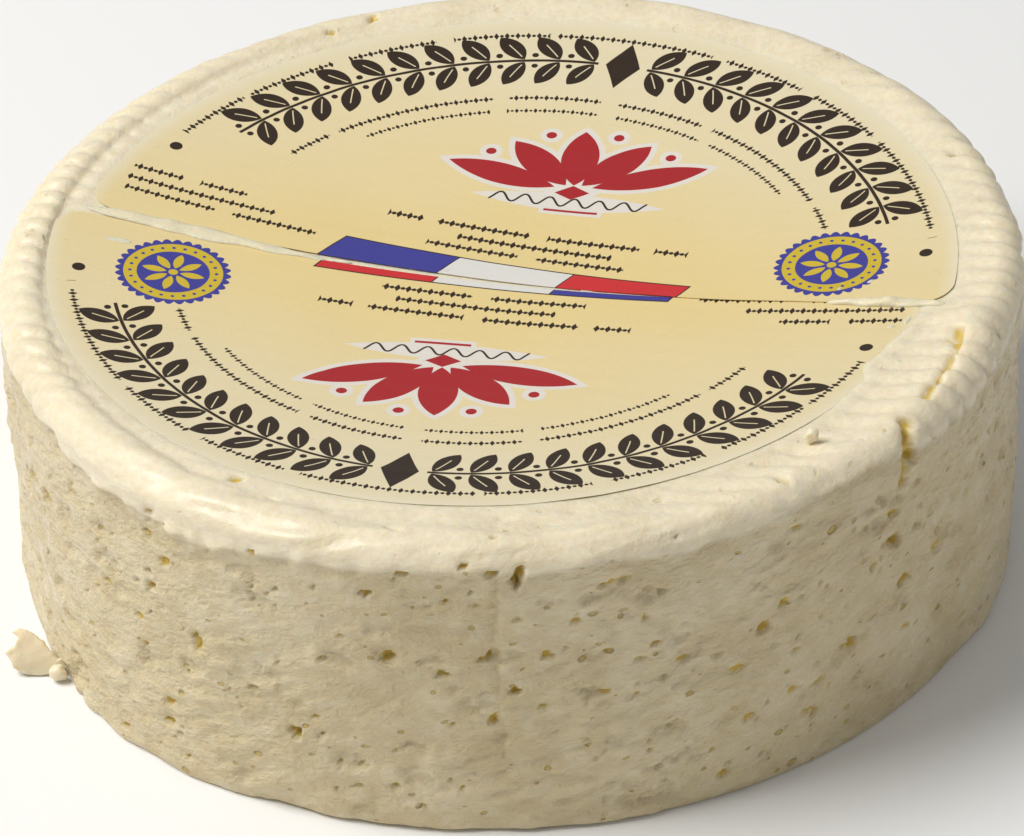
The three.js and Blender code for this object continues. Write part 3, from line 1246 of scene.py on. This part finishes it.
def paper_color(spot, u, v):
    """Warm next to the seam, paler towards the arc and palest along the edge."""
    radius = u.length(v)
    pale = (radius * 0.45 + v * 0.7 + print_cloud(spot, 3.0, 2.0) * 24).between(24, 66)
    papers = {0: pale, 6: SEAM_PAPER, 7: ARC_PAPER}
    color = pale.node("ShaderNodeMix", {"data_type": "RGBA"}, papers, 2)
    return color.mix(EDGE_PAPER, radius.between(55.0, 57.2) * 0.75)


print("paper at the seam", SEAM_PAPER[:3], "and at the arc", ARC_PAPER[:3])

# %% The coloured ornaments
EMBLEM_MIDDLE = (0.5, 27.2)
PEN_MIDDLE = (1.5, 19.3)
PEN_TURN = math.radians(4)
PEN_REACH = 10.5
BAR_HALF = 3.9
BAR_REACH = 23.2
BAR_THIRD = 7.7
BAR_SLANT = 0.42
SEAL_MIDDLE = (39.5, 10.9)
SEAL_SCALLOPS = 16
SEAL_BEADS = 24
SEAL_PETALS = 8
SEAL_RING = 5.5


def add_emblem(color, u, v):
    """A red lotus over a pen line and a dash, on a pale halo."""
    emblem = fan(u - EMBLEM_MIDDLE[0], v - EMBLEM_MIDDLE[1])
    pen_x, pen_y = turned_pair(u - PEN_MIDDLE[0], v - PEN_MIDDLE[1], PEN_TURN)
    pen = flourish(pen_x, pen_y).math("MAXIMUM", abs(pen_x) - PEN_REACH)
    dash = (abs(pen_y + 1.9) - 0.24).math("MAXIMUM", abs(pen_x - 0.8) - 3.6)
    halo = (emblem - 0.8).least(almond(pen_x, pen_y, 0, 13.0, 1.9)).least(dash - 0.6)
    color = color.mix(HALO_PAPER, ink(halo))
    color = color.mix(BROWN_INK, ink(pen))
    return color.mix(RED_INK, ink(emblem.least(dash)))


def add_bar(color, u, v):
    """A slanting bar of three colours with thin dark lines. The seam cuts it lengthwise."""
    bar_x = u - (v - BAR_HALF) * BAR_SLANT + 0.4
    bar = (abs(v) - BAR_HALF).math("MAXIMUM", abs(bar_x) - BAR_REACH)
    bar_color = color.mix(BLUE_INK, ink(bar_x + BAR_THIRD))
    bar_color = bar_color.mix(BAR_WHITE, ink(abs(bar_x) - BAR_THIRD))
    bar_color = bar_color.mix(BAR_RED, ink(BAR_THIRD - bar_x))
    joints = ink(abs(abs(bar_x) - BAR_THIRD) - 0.09) * ink(bar)
    line = ink(abs(bar) - 0.11).math("MAXIMUM", joints)
    return color.mix(bar_color, ink(bar)).mix(BROWN_INK, line)


def add_seal(color, u, v):
    """A scalloped disc with a ring of beads round a flower."""
    seal_x = u - SEAL_MIDDLE[0]
    seal_y = v - SEAL_MIDDLE[1]
    radius = seal_x.length(seal_y)
    turn = seal_y.math("ARCTAN2", seal_x)
    scallops = abs((turn * SEAL_SCALLOPS).math("COSINE")) * 0.65 + 6.75
    bead_along = turn.math("PINGPONG", math.pi / SEAL_BEADS) * SEAL_RING
    beads = ink(dot(bead_along, radius - SEAL_RING, 0.24))
    ring = ink(abs(radius - SEAL_RING) - 0.85) * (1 - beads)
    sector = turn.math("PINGPONG", math.pi / SEAL_PETALS)
    petal_x = radius * sector.math("COSINE") - 2.5
    petal_y = radius * sector.math("SINE")
    flower = ink(almond(petal_x, petal_y, 0, 1.6, 0.62).least(radius - 0.62))
    color = color.mix(BLUE_INK, ink(radius - scallops))
    return color.mix(SEAL_YELLOW, ring.math("MAXIMUM", flower))


print("the seal has", SEAL_PETALS, "petals and", 2 * SEAL_SCALLOPS, "scallops")

# %% The label's finish
def label_finish():
    material, shader, start = new_finish("label_film")
    spot = start.node("ShaderNodeUVMap", {"uv_map": "print"})
    split = spot.node("ShaderNodeSeparateXYZ", {}, {"Vector": spot})
    u = (split.out("X") - 0.5) * PRINT_WIDE
    v = split.out("Y") * PRINT_HIGH
    color = paper_color(spot, u, v).mix(BROWN_INK, dark_print(u, v))
    color = add_emblem(color, u, v)
    color = add_bar(color, u, v)
    color = add_seal(color, u, v)

    shader_in = shader.inputs
    color.plug(shader_in["Base Color"], color)
    gloss = print_cloud(spot, 14.0, 3.0).between(0.3, 0.75)
    color.plug(shader_in["Roughness"], gloss * 0.16 + 0.24)
    relief = {"Height": print_cloud(spot, 60.0, 2.0), "Distance": 0.02 * MM, "Strength": 0.6}
    color.plug(shader_in["Normal"], color.node("ShaderNodeBump", {}, relief))
    shader_in["Subsurface Weight"].default_value = 0.1
    shader_in["Subsurface Radius"].default_value = (1.0, 0.7, 0.3)
    shader_in["Subsurface Scale"].default_value = 0.4 * MM
    return material


label_material = label_finish()
for piece in (front_label, back_label):
    piece.data.materials.append(label_material)
print("label finish:", len(label_material.node_tree.nodes), "nodes")
